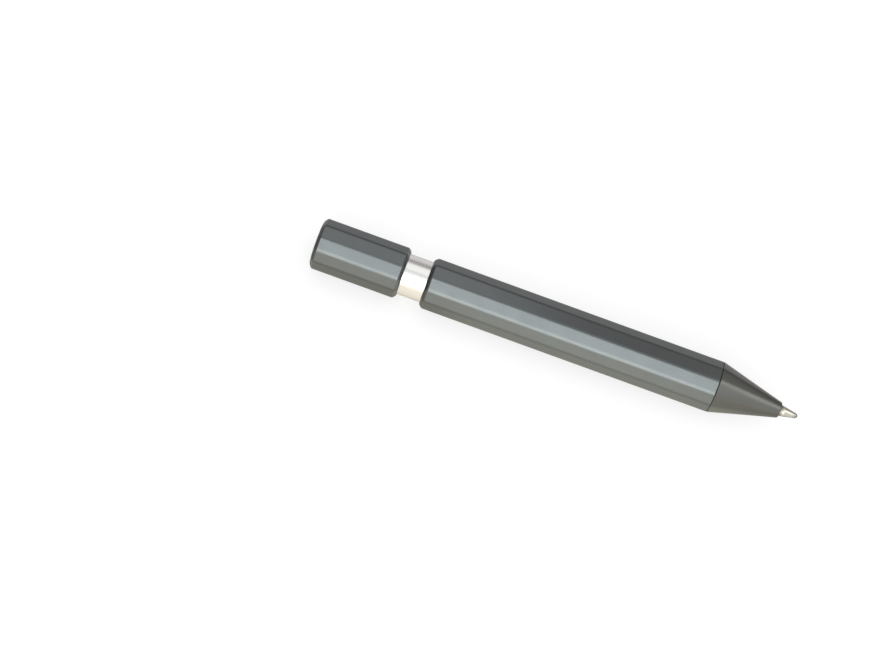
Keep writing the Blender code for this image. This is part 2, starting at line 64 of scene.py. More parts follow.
# %% [markdown]
# ## Measuring the frame
# A maker would take a calliper to the parts. Here the boxes of the nodes give the same readings: where a
# piece starts and ends along the pen, how wide it is, and how high the long axis lies above the table.

# %% Read the sizes


def span(node):
    """Where a node starts and ends along the pen, and half its height."""
    low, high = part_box(node)
    return low.x, high.x, (high.z - low.z) / 2


FACETS = 12
barrel_rear, barrel_front, half_flats = span("barrel")
cap_rear, cap_front, _ = span("twist_cap")
insert_rear, _, insert_radius = span("cap_insert")
nose_spigot_rear, nose_front, _ = span("nose_cone")
neck_rear, neck_front, neck_radius = span("neck_sleeve")
tip_rear, socket_front, tip_radius = span("tip_socket")
ball_rear, ball_front, ball_radius = span("writing_ball")
spring_rear, spring_front, spring_radius = span("return_spring")
axis_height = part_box("barrel")[0].z + half_flats
AXIS = Vector((0, 0, axis_height))
print(f"across flats {2000 * half_flats:.2f} mm, axis {1000 * axis_height:.3f} mm up")

# %% [markdown]
# ## Working in edit mode
# Every new piece below is shaped by the same few steps: a ring of edges is selected, extruded along the pen
# and scaled about its axis. In the editor the mouse does the selecting. Here an edge is picked by a test on
# its place, which gives the same edges each time the script runs.

# %% Picking edges
SAME_STATION = 1e-6


def start_piece(name):
    """Name the primitive just added, put its place into its mesh and open it for editing."""
    piece = bpy.context.object
    piece.name = name
    piece.data.name = name
    bpy.ops.object.transform_apply(location=True, rotation=True, scale=True)
    bpy.ops.object.mode_set(mode="EDIT")
    return piece


def pick_edges(piece, wanted):
    """Select the edges that a test wants, and no others."""
    bpy.ops.mesh.select_mode(type="EDGE")
    bpy.ops.mesh.select_all(action="DESELECT")
    mesh = bmesh.from_edit_mesh(piece.data)
    for edge in mesh.edges:
        edge.select = wanted(edge)
    mesh.select_flush_mode()
    bmesh.update_edit_mesh(piece.data)


def pick_open_ring(piece, x):
    """Select the open ring of edges that lies nearest to a station."""
    mesh = bmesh.from_edit_mesh(piece.data)
    stations = [edge.verts[0].co.x for edge in mesh.edges if edge.is_boundary]
    nearest = min(stations, key=lambda station: abs(station - x))
    pick_edges(piece, lambda edge: edge.is_boundary and abs(edge.verts[0].co.x - nearest) < SAME_STATION)


# %% [markdown]
# ## Carrying a ring along
# A drawing for the lathe is a list of diameters along a part. The helpers below read the same kind of
# list: each step extrudes the selected ring to a station and scales it to a radius about the pen's axis.
# Cutting with booleans could give the same bores, but leaves long thin faces that shade badly.

# %% Extruding rings


def ring_radius(piece):
    """The mean distance of the selected points from the pen's axis."""
    mesh = bmesh.from_edit_mesh(piece.data)
    picked = [point.co for point in mesh.verts if point.select]
    return sum(math.hypot(co.y, co.z - axis_height) for co in picked) / len(picked)


def ring_station(piece):
    """Where along the pen the selected points lie."""
    mesh = bmesh.from_edit_mesh(piece.data)
    return next(point.co.x for point in mesh.verts if point.select)


def resize_ring(factor):
    """Scale the selected ring about the pen's axis."""
    bpy.ops.transform.resize(value=(1, factor, factor), center_override=AXIS)


def extrude_ring(piece, stations):
    """Extrude the selected ring through a list of (station, radius), with the radius as its mean."""
    for x, radius in stations:
        step = x - ring_station(piece)
        factor = radius / ring_radius(piece)
        bpy.ops.mesh.extrude_region_move(TRANSFORM_OT_translate={"value": (step, 0, 0)})
        resize_ring(factor)


def make_round(piece, radius):
    """Turn the selected ring into a true circle."""
    bpy.ops.transform.tosphere(value=1)
    resize_ring(radius / ring_radius(piece))


def extrude_to_round(piece, x, radius):
    """Extrude a faceted ring once more and make it a true circle."""
    extrude_ring(piece, [(x, radius)])
    make_round(piece, radius)


def close_ends(piece):
    """Bridge the two rings that are still open."""
    pick_edges(piece, lambda edge: edge.is_boundary)
    bpy.ops.mesh.bridge_edge_loops()


# %% [markdown]
# ## Finishing a mesh
# A finished mesh has no doubled points and no open edges, and its faces look outwards. Smooth shading
# alone would make the flats look swollen beside their rounded edges, so a Weighted Normal modifier lets
# the large faces set the shading.

# %% Finishing a piece
DOUBLES = 1e-7
CREASE = math.radians(32)


def count_open_edges(piece):
    """How many edges of a finished mesh do not have a face on both sides."""
    mesh = bmesh.new()
    mesh.from_mesh(piece.data)
    count = sum(not edge.is_manifold for edge in mesh.edges)
    mesh.free()
    return count


def finish_piece(piece):
    """Turn the faces outwards, shade round stretches smooth and keep flat ones flat."""
    bpy.ops.mesh.select_all(action="SELECT")
    bpy.ops.mesh.remove_doubles(threshold=DOUBLES)
    bpy.ops.mesh.normals_make_consistent(inside=False)
    bpy.ops.object.mode_set(mode="OBJECT")
    bpy.ops.object.shade_smooth_by_angle(angle=CREASE)
    weighted = piece.modifiers.new("Weighted normals", "WEIGHTED_NORMAL")
    weighted.keep_sharp = True
    bpy.ops.object.modifier_apply(modifier=weighted.name)
    print(f"{piece.name}: {len(piece.data.polygons)} faces, {count_open_edges(piece)} open edges")
    return piece


# %% [markdown]
# ## Twelve flat sides with soft edges
# Cap, barrel and nose share one section: a regular twelve-sided outline whose long edges are eased by
# about half a millimetre. Bevelling those edges first, on a bare sleeve, keeps the easing even when the
# ends are later extruded and drawn in. Each flat is then cut into narrow strips, which do not show, but
# give the ends enough points to be turned from twelve sides into a true circle.

# %% Faceted sleeve
EDGE_EASE = 0.00048
EDGE_STEPS = 6
FLAT_STRIPS = 10
CENTRE_DEGREES = 1


def crosses_flat(edge):
    """True for an end edge whose middle lies on the centre line of a flat."""
    middle = (edge.verts[0].co + edge.verts[1].co) / 2 - AXIS
    angle = math.degrees(math.atan2(middle.y, middle.z)) % (360 / FACETS)
    return edge.is_boundary and min(angle, 360 / FACETS - angle) < CENTRE_DEGREES


def faceted_sleeve(name, rear, front, half_rear, half_front):
    """An open twelve-sided sleeve along the pen, flats up and down, with eased long edges."""
    to_corner = 1 / math.cos(math.pi / FACETS)
    bpy.ops.object.select_all(action="DESELECT")
    bpy.ops.mesh.primitive_cone_add(
        vertices=FACETS, radius1=half_rear * to_corner, radius2=half_front * to_corner,
        depth=front - rear, end_fill_type="NOTHING",
        location=((rear + front) / 2, 0, axis_height), rotation=(0, math.pi / 2, 0))
    piece = start_piece(name)
    bpy.ops.mesh.select_all(action="SELECT")
    bpy.ops.transform.rotate(value=math.pi / FACETS, orient_axis="X", center_override=AXIS)
    pick_edges(piece, lambda edge: not edge.is_boundary)
    bpy.ops.mesh.bevel(offset=EDGE_EASE, offset_type="OFFSET", segments=EDGE_STEPS, affect="EDGES")
    pick_edges(piece, crosses_flat)
    bpy.ops.mesh.subdivide(number_cuts=FLAT_STRIPS - 1)
    return piece


# %% [markdown]
# ## Rounded ends
# Where a sleeve ends, its rim is drawn in along a soft bevel, flatter in the middle than a quarter circle.
# The bevel tool could cut it on the finished end, but would have to meet the eased long edges there.
# Extruding the end ring in small steps, each a little further and a little narrower, avoids that.

# %% Fillet
FILLET_STEPS = 12
FILLET_POWER = 1.5


def fillet_ring(piece, x, depth, inset, way):
    """Round an open end off: extrude its ring along a soft bevel towards way, -1 or +1."""
    pick_open_ring(piece, x)
    start, wide = ring_station(piece), ring_radius(piece)
    arc = []
    for step in range(1, FILLET_STEPS + 1):
        angle = math.pi / 2 * step / FILLET_STEPS
        forward = math.sin(angle) ** FILLET_POWER
        inward = 1 - max(math.cos(angle), 0) ** FILLET_POWER
        arc.append((start + way * depth * forward, wide - inset * inward))
    extrude_ring(piece, arc)


# %% [markdown]
# ## The twist cap
# The cap is closed at the tail, where its rim is well rounded, and bored from the front so that it turns
# on the neck. A Solidify modifier would give it an even wall, but the real bore is round inside twelve
# sides. So it is one sleeve whose rear ring ends in a flat face, and whose front ring turns in on itself,
# becomes a circle and runs back as the bore.

# %% Twist cap
FIT_GAP = 0.0001
TAIL_DEPTH, TAIL_INSET = 0.00103, 0.0015
CAP_RIM_DEPTH = 0.00095
RIM_INSET = 0.001
SHELL_BORE = insert_radius + FIT_GAP
BORE_CHAMFER = 0.00006
cap = faceted_sleeve("cap_shell", cap_rear + TAIL_DEPTH, cap_front - CAP_RIM_DEPTH, half_flats, half_flats)
fillet_ring(cap, cap_rear, TAIL_DEPTH, TAIL_INSET, -1)
bpy.ops.mesh.edge_face_add()
fillet_ring(cap, cap_front, CAP_RIM_DEPTH, RIM_INSET, 1)
extrude_to_round(cap, cap_front, SHELL_BORE + BORE_CHAMFER)
extrude_ring(cap, [(cap_front - BORE_CHAMFER, SHELL_BORE), (insert_rear - FIT_GAP, SHELL_BORE)])
bpy.ops.mesh.edge_face_add()
finish_piece(cap)

# %% [markdown]
# ## The barrel
# The barrel is the same sleeve, open at both ends, because the refill passes through it. Its rear rim is
# rounded like the cap's, and its front end has only a fine chamfer, which with the nose's own draws the
# hairline seam between them. Bridging the two inner rings makes the bore in one step.

# %% Barrel
BARREL_RIM_DEPTH = 0.00112
SEAM_CHAMFER = 0.00012
barrel = faceted_sleeve("barrel_shell", barrel_rear + BARREL_RIM_DEPTH, barrel_front - SEAM_CHAMFER,
                        half_flats, half_flats)
fillet_ring(barrel, barrel_rear, BARREL_RIM_DEPTH, RIM_INSET, -1)
extrude_to_round(barrel, barrel_rear, SHELL_BORE + BORE_CHAMFER)
extrude_ring(barrel, [(barrel_rear + BORE_CHAMFER, SHELL_BORE)])
fillet_ring(barrel, barrel_front, SEAM_CHAMFER, SEAM_CHAMFER, 1)
extrude_to_round(barrel, barrel_front, SHELL_BORE)
close_ends(barrel)
finish_piece(barrel)

# %% [markdown]
# ## The nose cone
# The facets run on into the nose, narrow with it and fade out, so that the last third is a plain round
# cone. The sleeve's front ring is simply made round, and the strips between the two rings turn from flat
# to round by themselves.

# %% Nose sleeve, from twelve sides to round
ROUND_FROM = 0.62
NOSE_END_FILLET = 0.0002
MOUTH_WALL = 0.00045
MOUTH_CLEARANCE = 0.00015
nose_rear = barrel_front + FIT_GAP
mouth_radius = tip_radius + MOUTH_CLEARANCE
mouth_outer = mouth_radius + MOUTH_WALL
taper_rear, taper_front = nose_rear + SEAM_CHAMFER, nose_front - NOSE_END_FILLET
round_station = taper_rear + ROUND_FROM * (taper_front - taper_rear)
round_radius = half_flats + ROUND_FROM * (mouth_outer - half_flats)
nose = faceted_sleeve("nose_shell", taper_rear, round_station, half_flats, round_radius)
pick_open_ring(nose, nose_front)
make_round(nose, round_radius)
extrude_ring(nose, [(taper_front, mouth_outer)])
print(f"nose is round from {1000 * (nose_front - round_station):.1f} mm before its end")

# %% [markdown]
# ## Inside the nose
# Behind the seam a plain spigot reaches into the barrel. Inside are a wide bore for the spring, a shoulder
# that seats it, and a close bore round the point. The rear ring is carried through all of these, and
# meets the front ring at the mouth, so the whole nose stays one closed skin.

# %% Nose mouth, spigot and bores
SPIGOT_RADIUS = 0.0043
NOSE_BORE = 0.0032
nose_seat = spring_front + FIT_GAP
fillet_ring(nose, nose_front, NOSE_END_FILLET, NOSE_END_FILLET, 1)
extrude_ring(nose, [(nose_front, mouth_radius)])
fillet_ring(nose, nose_rear, SEAM_CHAMFER, SEAM_CHAMFER, -1)
extrude_to_round(nose, nose_rear, SPIGOT_RADIUS)
extrude_ring(nose, [
    (nose_spigot_rear, SPIGOT_RADIUS),
    (nose_spigot_rear, NOSE_BORE),
    (nose_seat, NOSE_BORE),
    (nose_seat, mouth_radius),
])
close_ends(nose)
finish_piece(nose)

# %% [markdown]
# ## The polished neck
# The neck is a plain turned sleeve. Spinning a profile would make it too, but a circle can use the same
# helper as the shells: it is carried round its own wall, along the outside, over a small chamfer, back
# through the bore and closed on itself.

# %% Neck sleeve
TURNED_SIDES = 96
NECK_CHAMFER = 0.0002
NECK_WALL = 0.0007


def turned_piece(name, stations):
    """A closed ring-shaped piece, made by carrying a circle through (station, radius) points."""
    start, radius = stations[0]
    bpy.ops.object.select_all(action="DESELECT")
    bpy.ops.mesh.primitive_circle_add(
        vertices=TURNED_SIDES, radius=radius, location=(start, 0, axis_height), rotation=(0, math.pi / 2, 0))
    piece = start_piece(name)
    bpy.ops.mesh.select_all(action="SELECT")
    extrude_ring(piece, stations[1:])
    close_ends(piece)
    return finish_piece(piece)


neck = turned_piece("neck_band", [
    (neck_rear, neck_radius - NECK_WALL),
    (neck_rear, neck_radius - NECK_CHAMFER),
    (neck_rear + NECK_CHAMFER, neck_radius),
    (neck_front - NECK_CHAMFER, neck_radius),
    (neck_front, neck_radius - NECK_CHAMFER),
    (neck_front, neck_radius - NECK_WALL),
])

# %% [markdown]
# ## The seat of the ball
# The point holds its ball in a seat that is an arc round the ball's centre, from the ink channel behind it
# to the open front. Working the arc out first gives the radius at which the lip has to start.

# %% Seat of the ball
BALL_CLEARANCE = 0.00003
CHANNEL = 0.00035
SEAT_STEPS = 10
ball_centre = (ball_rear + ball_front) / 2
seat = ball_radius + BALL_CLEARANCE
first = math.asin(CHANNEL / seat)
last = math.acos((ball_centre - socket_front) / seat)
seat_arc = []
for step in range(SEAT_STEPS + 1):
    angle = first + (last - first) * step / SEAT_STEPS
    seat_arc.append((ball_centre - seat * math.cos(angle), seat * math.sin(angle)))
print(f"seat of {len(seat_arc)} rings, {2000 * seat_arc[-1][1]:.2f} mm wide at its mouth")

# %% [markdown]
# ## The writing point
# The point is turned from pale metal: a straight shank that slides in the mouth, a small step, and a long
# cone that ends in a thin lip rolled over the ball. One list of stations gives all of it, as for the neck.

# %% Point socket
SOCKET_LIP = 0.0001
LIP_LENGTH, LIP_FLARE = 0.00025, 0.00006
CONE_LENGTH = 0.0031
CONE_BASE = 0.00126
STEP_ROUND = 0.00002
STEP_START, STEP_END = 0.00005, 0.00012
SHANK_FRONT = 0.00129
SHANK_TAPER_INSIDE = 0.0002
SHANK_SPIGOT = 0.0011
SHANK_SPIGOT_LENGTH = 0.004
cone_rear = socket_front - CONE_LENGTH
shank_rear = tip_rear + SHANK_SPIGOT_LENGTH
lip_radius = seat_arc[-1][1] + SOCKET_LIP
point = turned_piece("point_socket", [
    (tip_rear, CHANNEL),
    *seat_arc,
    (socket_front, lip_radius - SOCKET_LIP / 2),
    (socket_front - SOCKET_LIP / 2, lip_radius),
    (socket_front - LIP_LENGTH, lip_radius + LIP_FLARE),
    (cone_rear, CONE_BASE),
    (cone_rear - STEP_START, CONE_BASE + STEP_ROUND),
    (cone_rear - STEP_END, SHANK_FRONT),
    (nose_front - SHANK_TAPER_INSIDE, tip_radius),
    (shank_rear, tip_radius),
    (shank_rear, SHANK_SPIGOT),
    (tip_rear, SHANK_SPIGOT),
])

# %% [markdown]
# ## The ball
# A UV sphere has two poles where its faces pinch together, and a real ball has none. A cube whose faces
# are cut fine and pushed out to a sphere gives an even skin of squares, which shades more cleanly.

# %% Writing ball
BALL_CUTS = 11
bpy.ops.object.select_all(action="DESELECT")
bpy.ops.mesh.primitive_cube_add(size=2 * ball_radius, location=(ball_centre, 0, axis_height))
ball = start_piece("point_ball")
bpy.ops.mesh.select_all(action="SELECT")
bpy.ops.mesh.subdivide(number_cuts=BALL_CUTS)
bpy.ops.transform.tosphere(value=1)
mesh = bmesh.from_edit_mesh(ball.data)
centre = Vector((ball_centre, 0, axis_height))
size = max((vertex.co - centre).length for vertex in mesh.verts)
bpy.ops.transform.resize(value=(ball_radius / size,) * 3, center_override=centre)
finish_piece(ball)

# %% [markdown]
# ## The return spring
# The spring is wound from thin wire between the refill's shoulder and the seat in the nose. A curve with a
# round bevel would do, but a mesh is what is exported in the end. So a small circle is carried round the
# axis by a Screw modifier, which is then applied, and the two cut ends of the wire are filled.

# %% Return spring
SPRING_WIRE = 0.0002
SPRING_TURNS = 8
WIRE_SIDES = 12
STEPS_PER_TURN = 36
coil_radius = spring_radius - SPRING_WIRE
coil_start = spring_rear + SPRING_WIRE
coil_length = spring_front - spring_rear - 2 * SPRING_WIRE
coil_middle = coil_start + coil_length / 2
bpy.ops.object.select_all(action="DESELECT")
bpy.ops.mesh.primitive_circle_add(
    vertices=WIRE_SIDES, radius=SPRING_WIRE,
    location=(coil_start, 0, coil_radius), rotation=(math.pi / 2, 0, 0))
spring = start_piece("coil_spring")
bpy.ops.object.mode_set(mode="OBJECT")
winding = spring.modifiers.new("Winding", "SCREW")
winding.axis = "X"
winding.screw_offset = coil_length / SPRING_TURNS
winding.iterations = SPRING_TURNS
winding.steps = STEPS_PER_TURN
winding.render_steps = STEPS_PER_TURN
bpy.ops.object.modifier_apply(modifier=winding.name)
spring.location = AXIS
bpy.ops.object.transform_apply(location=True, rotation=True, scale=True)
bpy.ops.object.mode_set(mode="EDIT")
for side in (-1, 1):
    pick_edges(spring, lambda edge: edge.is_boundary and side * (edge.verts[0].co.x - coil_middle) > 0)
    bpy.ops.mesh.edge_face_add()
finish_piece(spring)

# %% [markdown]
# ## Finishes
# Each finish is a small node tree on Object coordinates, in metres, so a pattern has its true scale and
# stays on its piece when that moves. Noise lies mostly between 0.3 and 0.7, so that stretch of it is
# spread over a range of tones or roughness.

# %% Node helpers
NOISE_LOW, NOISE_HIGH = 0.3, 0.7


def toned(shade, factor):
    """A colour made darker or lighter."""
    return tuple(factor * channel for channel in shade)


def new_finish(name):
    """A material with its Principled shader, and a coordinate node in metres."""
    material = bpy.data.materials.new(name)
    material.use_nodes = True
    nodes = material.node_tree.nodes
    return material, nodes["Principled BSDF"], nodes.new("ShaderNodeTexCoord")


def add_noise(material, place, scale, detail=2.0, stretch=(1, 1, 1)):
    """A noise pattern; stretch squeezes it along an axis."""
    nodes, links = material.node_tree.nodes, material.node_tree.links
    mapping = nodes.new("ShaderNodeMapping")
    mapping.inputs["Scale"].default_value = stretch
    noise = nodes.new("ShaderNodeTexNoise")
    noise.inputs["Scale"].default_value = scale
    noise.inputs["Detail"].default_value = detail
    links.new(place.outputs["Object"], mapping.inputs["Vector"])
    links.new(mapping.outputs["Vector"], noise.inputs["Vector"])
    return noise


def add_range(material, source, low, high, target):
    """Map a pattern onto a shader value."""
    nodes, links = material.node_tree.nodes, material.node_tree.links
    spread = nodes.new("ShaderNodeMapRange")
    spread.inputs["From Min"].default_value = NOISE_LOW
    spread.inputs["From Max"].default_value = NOISE_HIGH
    spread.inputs["To Min"].default_value = low
    spread.inputs["To Max"].default_value = high
    links.new(source.outputs["Fac"], spread.inputs["Value"])
    links.new(spread.outputs["Result"], target)


def add_tint(material, source, dark, light, target):
    """Map a pattern onto a colour."""
    nodes, links = material.node_tree.nodes, material.node_tree.links
    ramp = nodes.new("ShaderNodeValToRGB")
    ramp.color_ramp.elements[0].position = NOISE_LOW
    ramp.color_ramp.elements[0].color = (*dark, 1)
    ramp.color_ramp.elements[1].position = NOISE_HIGH
    ramp.color_ramp.elements[1].color = (*light, 1)
    links.new(source.outputs["Fac"], ramp.inputs["Fac"])
    links.new(ramp.outputs["Color"], target)


def add_bump(material, source, depth, shader):
    """Raise a pattern as a bump of a given depth in metres."""
    nodes, links = material.node_tree.nodes, material.node_tree.links
    bump = nodes.new("ShaderNodeBump")
    bump.inputs["Distance"].default_value = depth
    links.new(source.outputs["Fac"], bump.inputs["Height"])
    links.new(bump.outputs["Normal"], shader.inputs["Normal"])


def stain(material, mask, colour, target):
    """Mix a colour in by a mask on the way to a socket, and give the socket for what lies under it."""
    tinted = material.node_tree.nodes.new("ShaderNodeMix")
    tinted.data_type = "RGBA"
    tinted.inputs["B"].default_value = (*colour, 1)
    material.node_tree.links.new(mask, tinted.inputs["Factor"])
    material.node_tree.links.new(tinted.outputs["Result"], target)
    return tinted.inputs["A"]


# %% [markdown]
# ## Painted shade on rims and edges
# The body's colour is painted darker on the rounded rims and along the eased edges. This is painted shade,
# which stands in for the darker reflections there. A bevel node could find these places, but the shape is so
# regular that sums on the coordinates are enough: a rim has its place along the pen, and the long edges
# repeat every thirty degrees round it. Towards the middle of the flat tail both fade out, so that it stays
# plain.

# %% Masks of painted shade for rims and long edges
EDGE_CORE, EDGE_REACH = 0.4, 1.1
SKIN_SOFT_OUT, SKIN_SOFT_IN = 0.0001, 0.0012
SECTORS_AHEAD = 20


def add_parts(material, place):
    """Split the place on the piece into X, Y and Z."""
    parts = material.node_tree.nodes.new("ShaderNodeSeparateXYZ")
    material.node_tree.links.new(place.outputs["Object"], parts.inputs["Vector"])
    return parts


def add_math(owner, operation, first, second=0.0):
    """A Math node of a material or world, on a socket or number and a second one."""
    nodes, links = owner.node_tree.nodes, owner.node_tree.links
    node = nodes.new("ShaderNodeMath")
    node.operation = operation
    for place, value in enumerate((first, second)):
        if isinstance(value, (int, float)):
            node.inputs[place].default_value = value
        else:
            links.new(value, node.inputs[place])
    return node.outputs["Value"]


def add_fade(material, value, near, far):
    """1 up to a near distance, falling softly to 0 at a far one."""
    nodes, links = material.node_tree.nodes, material.node_tree.links
    fade = nodes.new("ShaderNodeMapRange")
    fade.interpolation_type = "SMOOTHSTEP"
    fade.inputs["From Min"].default_value = near
    fade.inputs["From Max"].default_value = far
    fade.inputs["To Min"].default_value = 1
    fade.inputs["To Max"].default_value = 0
    links.new(value, fade.inputs["Value"])
    return fade.outputs["Result"]


def band_mask(material, parts, bands):
    """Bands round the pen, each (station, depth, near, far): depth up to near, fading to 0 at far."""
    mask = 0.0
    for station, depth, near, far in bands:
        away = add_math(material, "ABSOLUTE", add_math(material, "SUBTRACT", parts.outputs["X"], station))
        shade = add_math(material, "MULTIPLY", add_fade(material, away, near, far), depth)
        mask = add_math(material, "MAXIMUM", shade, mask)
    return mask


def skin_mask(material, parts):
    """1 near the outside of the body, falling to 0 towards the middle of its flat end."""
    above = add_math(material, "SUBTRACT", parts.outputs["Z"], axis_height)
    squares = [add_math(material, "MULTIPLY", side, side) for side in (parts.outputs["Y"], above)]
    radius = add_math(material, "SQRT", add_math(material, "ADD", *squares))
    flat_end = half_flats - TAIL_INSET
    return add_fade(material, radius, flat_end + SKIN_SOFT_OUT, flat_end - SKIN_SOFT_IN)


def long_edge_mask(material, parts):
    """1 along the twelve long edges, fading to 0 on the flats."""
    sector = 2 * math.pi / FACETS
    above = add_math(material, "SUBTRACT", parts.outputs["Z"], axis_height)
    angle = add_math(material, "ARCTAN2", parts.outputs["Y"], above)
    positive = add_math(material, "ADD", angle, SECTORS_AHEAD * sector)
    off_edge = add_math(material, "PINGPONG", positive, sector / 2)
    from_edge = add_math(material, "SUBTRACT", sector / 2, off_edge)
    reach = EDGE_EASE / half_flats
    return add_fade(material, from_edge, EDGE_CORE * reach, EDGE_REACH * reach)


# %% [markdown]
# ## Satin grey of the body
# The body is dark grey metal under a thin satin lacquer, close to one tone, so the detail is small: soft
# clouds in the gloss a few millimetres wide, a grain that only shows close up, and painted shade on rims and
# edges.
# A metallic shader lets the facets differ by what they mirror, as the real ones do.

# %% Satin grey
# The dark tone of the painted shade on the rims and long edges.
PAINTED_SHADE_TONE = (0.024, 0.02, 0.019)
CLOUD_SCALE, CLOUD_SPREAD = 220, 0.07
GRAIN_SCALE, GRAIN_SPREAD, GRAIN_DEPTH = 14000, 0.05, 0.0000015


def satin_grey(name, shade, rough, rims, edges):
    """Dark grey satin metal; rims and edges say how much painted shade darkens these."""
    material, shader, place = new_finish(name)
    shader.inputs["Metallic"].default_value = 1
    clouds = add_noise(material, place, CLOUD_SCALE, detail=3)
    grain = add_noise(material, place, GRAIN_SCALE, detail=2)
    parts = add_parts(material, place)
    edge = add_math(material, "MULTIPLY", long_edge_mask(material, parts), edges)
    painted_shade = add_math(material, "MAXIMUM", edge, band_mask(material, parts, rims))
    painted_shade = add_math(material, "MULTIPLY", painted_shade, skin_mask(material, parts))
    # Painted shade: the base colour is mixed towards a dark tone on the rims and long edges.
    under = stain(material, painted_shade, PAINTED_SHADE_TONE, shader.inputs["Base Color"])
    add_tint(material, grain, toned(shade, 1 - GRAIN_SPREAD), toned(shade, 1 + GRAIN_SPREAD), under)
    low, high = (1 - CLOUD_SPREAD) * rough, (1 + CLOUD_SPREAD) * rough
    add_range(material, clouds, low, high, shader.inputs["Roughness"])
    add_bump(material, grain, GRAIN_DEPTH, shader)
    return material


BODY_SHADE, NOSE_SHADE = (0.151, 0.162, 0.164), (0.161, 0.162, 0.151)
BODY_ROUGH, NOSE_ROUGH = 0.365, 0.29
# How strongly painted shade darkens the long edges and each rim.
BODY_EDGE_SHADE, NOSE_EDGE_SHADE = 0.12, 0.04
CAP_RIM_SHADE = [(cap_rear, 0.69, 0.00045, 0.00085)]
BARREL_RIM_SHADE = [(barrel_rear, 0.42, 0.0005, 0.001)]
cap_grey = satin_grey("satin grey cap", BODY_SHADE, BODY_ROUGH, CAP_RIM_SHADE, BODY_EDGE_SHADE)
barrel_grey = satin_grey("satin grey barrel", BODY_SHADE, BODY_ROUGH, BARREL_RIM_SHADE, BODY_EDGE_SHADE)
nose_grey = satin_grey("satin grey nose", NOSE_SHADE, NOSE_ROUGH, [], NOSE_EDGE_SHADE)
print("satin grey:", len(cap_grey.node_tree.nodes), "nodes on the cap")

# %% [markdown]
# ## Polished and turned metals
# Neck, ball, spring and the brass pieces inside are bare metal. What tells turned metal from a mirror is
# its tool marks: fine rings round the part. Noise that is squeezed until it only changes along the pen
# gives them, and they vary the tone and the gloss as well as the bump.

# %% Polished metals
RING_STRETCH = (1, 0.01, 0.01)
RING_TONE, RING_GLOSS, RING_DEPTH = 0.96, 0.2, 0.0000003


def add_rings(material, place, marks, shade, rough, shader, tone_to, gloss_to):
    """Tool marks round the pen, in the tone, the gloss and the bump."""
    rings = add_noise(material, place, marks, stretch=RING_STRETCH)
    add_tint(material, rings, toned(shade, RING_TONE), shade, tone_to)
    add_range(material, rings, (1 - RING_GLOSS) * rough, (1 + RING_GLOSS) * rough, gloss_to)
    add_bump(material, rings, RING_DEPTH, shader)


def polished_metal(name, shade, rough, marks, edge=1.0):
    """Bright metal with faint marks round the pen; edge is its brightness at a glance."""
    material, shader, place = new_finish(name)
    shader.inputs["Metallic"].default_value = 1
    shader.inputs["Specular Tint"].default_value = (edge, edge, edge, 1)
    add_rings(material, place, marks, shade, rough, shader,
              shader.inputs["Base Color"], shader.inputs["Roughness"])
    return material


bright_neck = polished_metal("polished neck", (0.89, 0.88, 0.86), 0.25, 9000, 0.7)
hard_ball = polished_metal("hard ball", (0.26, 0.26, 0.28), 0.12, 12000)
spring_steel = polished_metal("spring steel", (0.62, 0.63, 0.64), 0.25, 6000)
turned_brass = polished_metal("turned brass", (0.75, 0.56, 0.26), 0.28, 5000)
print("bright metals:", [finish.name for finish in (bright_neck, hard_ball, spring_steel, turned_brass)])

# %% [markdown]
# ## The point's own finish
# The point is the same turned metal, marked by use. The stretch that slides in the nose is scuffed dull,
# and its colour is painted darker next to the mouth, as painted shade. Ink has greyed the last millimetre,
# round the ball. Each of these is a band found by its place along the pen.

# %% Turned point
POINT_EDGE = 0.42
# The mouth tone is painted shade; the ink grey is the tip's own stain.
INK_GREY, MOUTH_SHADE_GREY = (0.45, 0.445, 0.43), (0.16, 0.15, 0.14)
INK_BANDS = [(socket_front, 1, 0.0005, 0.0012)]
MOUTH_SHADE_BANDS = [(nose_front, 0.75, 0.0002, 0.001)]
SCUFF_BANDS = [(nose_front, 0.3, 0.0009, 0.0013)]


def point_metal(name, shade, rough, marks):
    """Pale turned metal, scuffed and painted with shade at the nose's mouth, and grey with ink at the ball.
    """
    material, shader, place = new_finish(name)
    shader.inputs["Metallic"].default_value = 1
    shader.inputs["Specular Tint"].default_value = (POINT_EDGE, POINT_EDGE, POINT_EDGE, 1)
    parts = add_parts(material, place)
    # Painted shade: the shank's colour is darkened next to the nose's mouth.
    under = stain(material, band_mask(material, parts, MOUTH_SHADE_BANDS), MOUTH_SHADE_GREY, shader.inputs["Base Color"])
    under = stain(material, band_mask(material, parts, INK_BANDS), INK_GREY, under)
    gloss = material.node_tree.nodes.new("ShaderNodeMath")
    material.node_tree.links.new(band_mask(material, parts, SCUFF_BANDS), gloss.inputs[1])
    material.node_tree.links.new(gloss.outputs["Value"], shader.inputs["Roughness"])
    add_rings(material, place, marks, shade, rough, shader, under, gloss.inputs[0])
    return material


pale_point = point_metal("pale point metal", (0.7, 0.665, 0.59), 0.17, 16000)
print("point:", len(pale_point.node_tree.nodes), "nodes")

# %% [markdown]
# ## Plastics and rubber
# The washers, the follower and the refill's plugs are moulded, and two rings are rubber. Moulded skin is
# never quite even, so a fine noise goes into its tone, its gloss and its bump.

# %% Plastics and rubber of the inner pieces
SKIN_SCALE, SKIN_TONE, SKIN_GLOSS, SKIN_DEPTH = 3000, 0.92, 0.9, 0.000003


def moulded(name, shade, rough):
    """Plain moulded plastic or rubber with a slightly uneven skin."""
    material, shader, place = new_finish(name)
    skin = add_noise(material, place, SKIN_SCALE, detail=3)
    add_tint(material, skin, toned(shade, SKIN_TONE), shade, shader.inputs["Base Color"])
    add_range(material, skin, SKIN_GLOSS * rough, rough, shader.inputs["Roughness"])
    add_bump(material, skin, SKIN_DEPTH, shader)
    return material


white_nylon = moulded("white nylon", (0.8, 0.78, 0.72), 0.5)
ring_rubber = moulded("ring rubber", (0.022, 0.022, 0.022), 0.75)
print("moulded:", white_nylon.name, "and", ring_rubber.name)
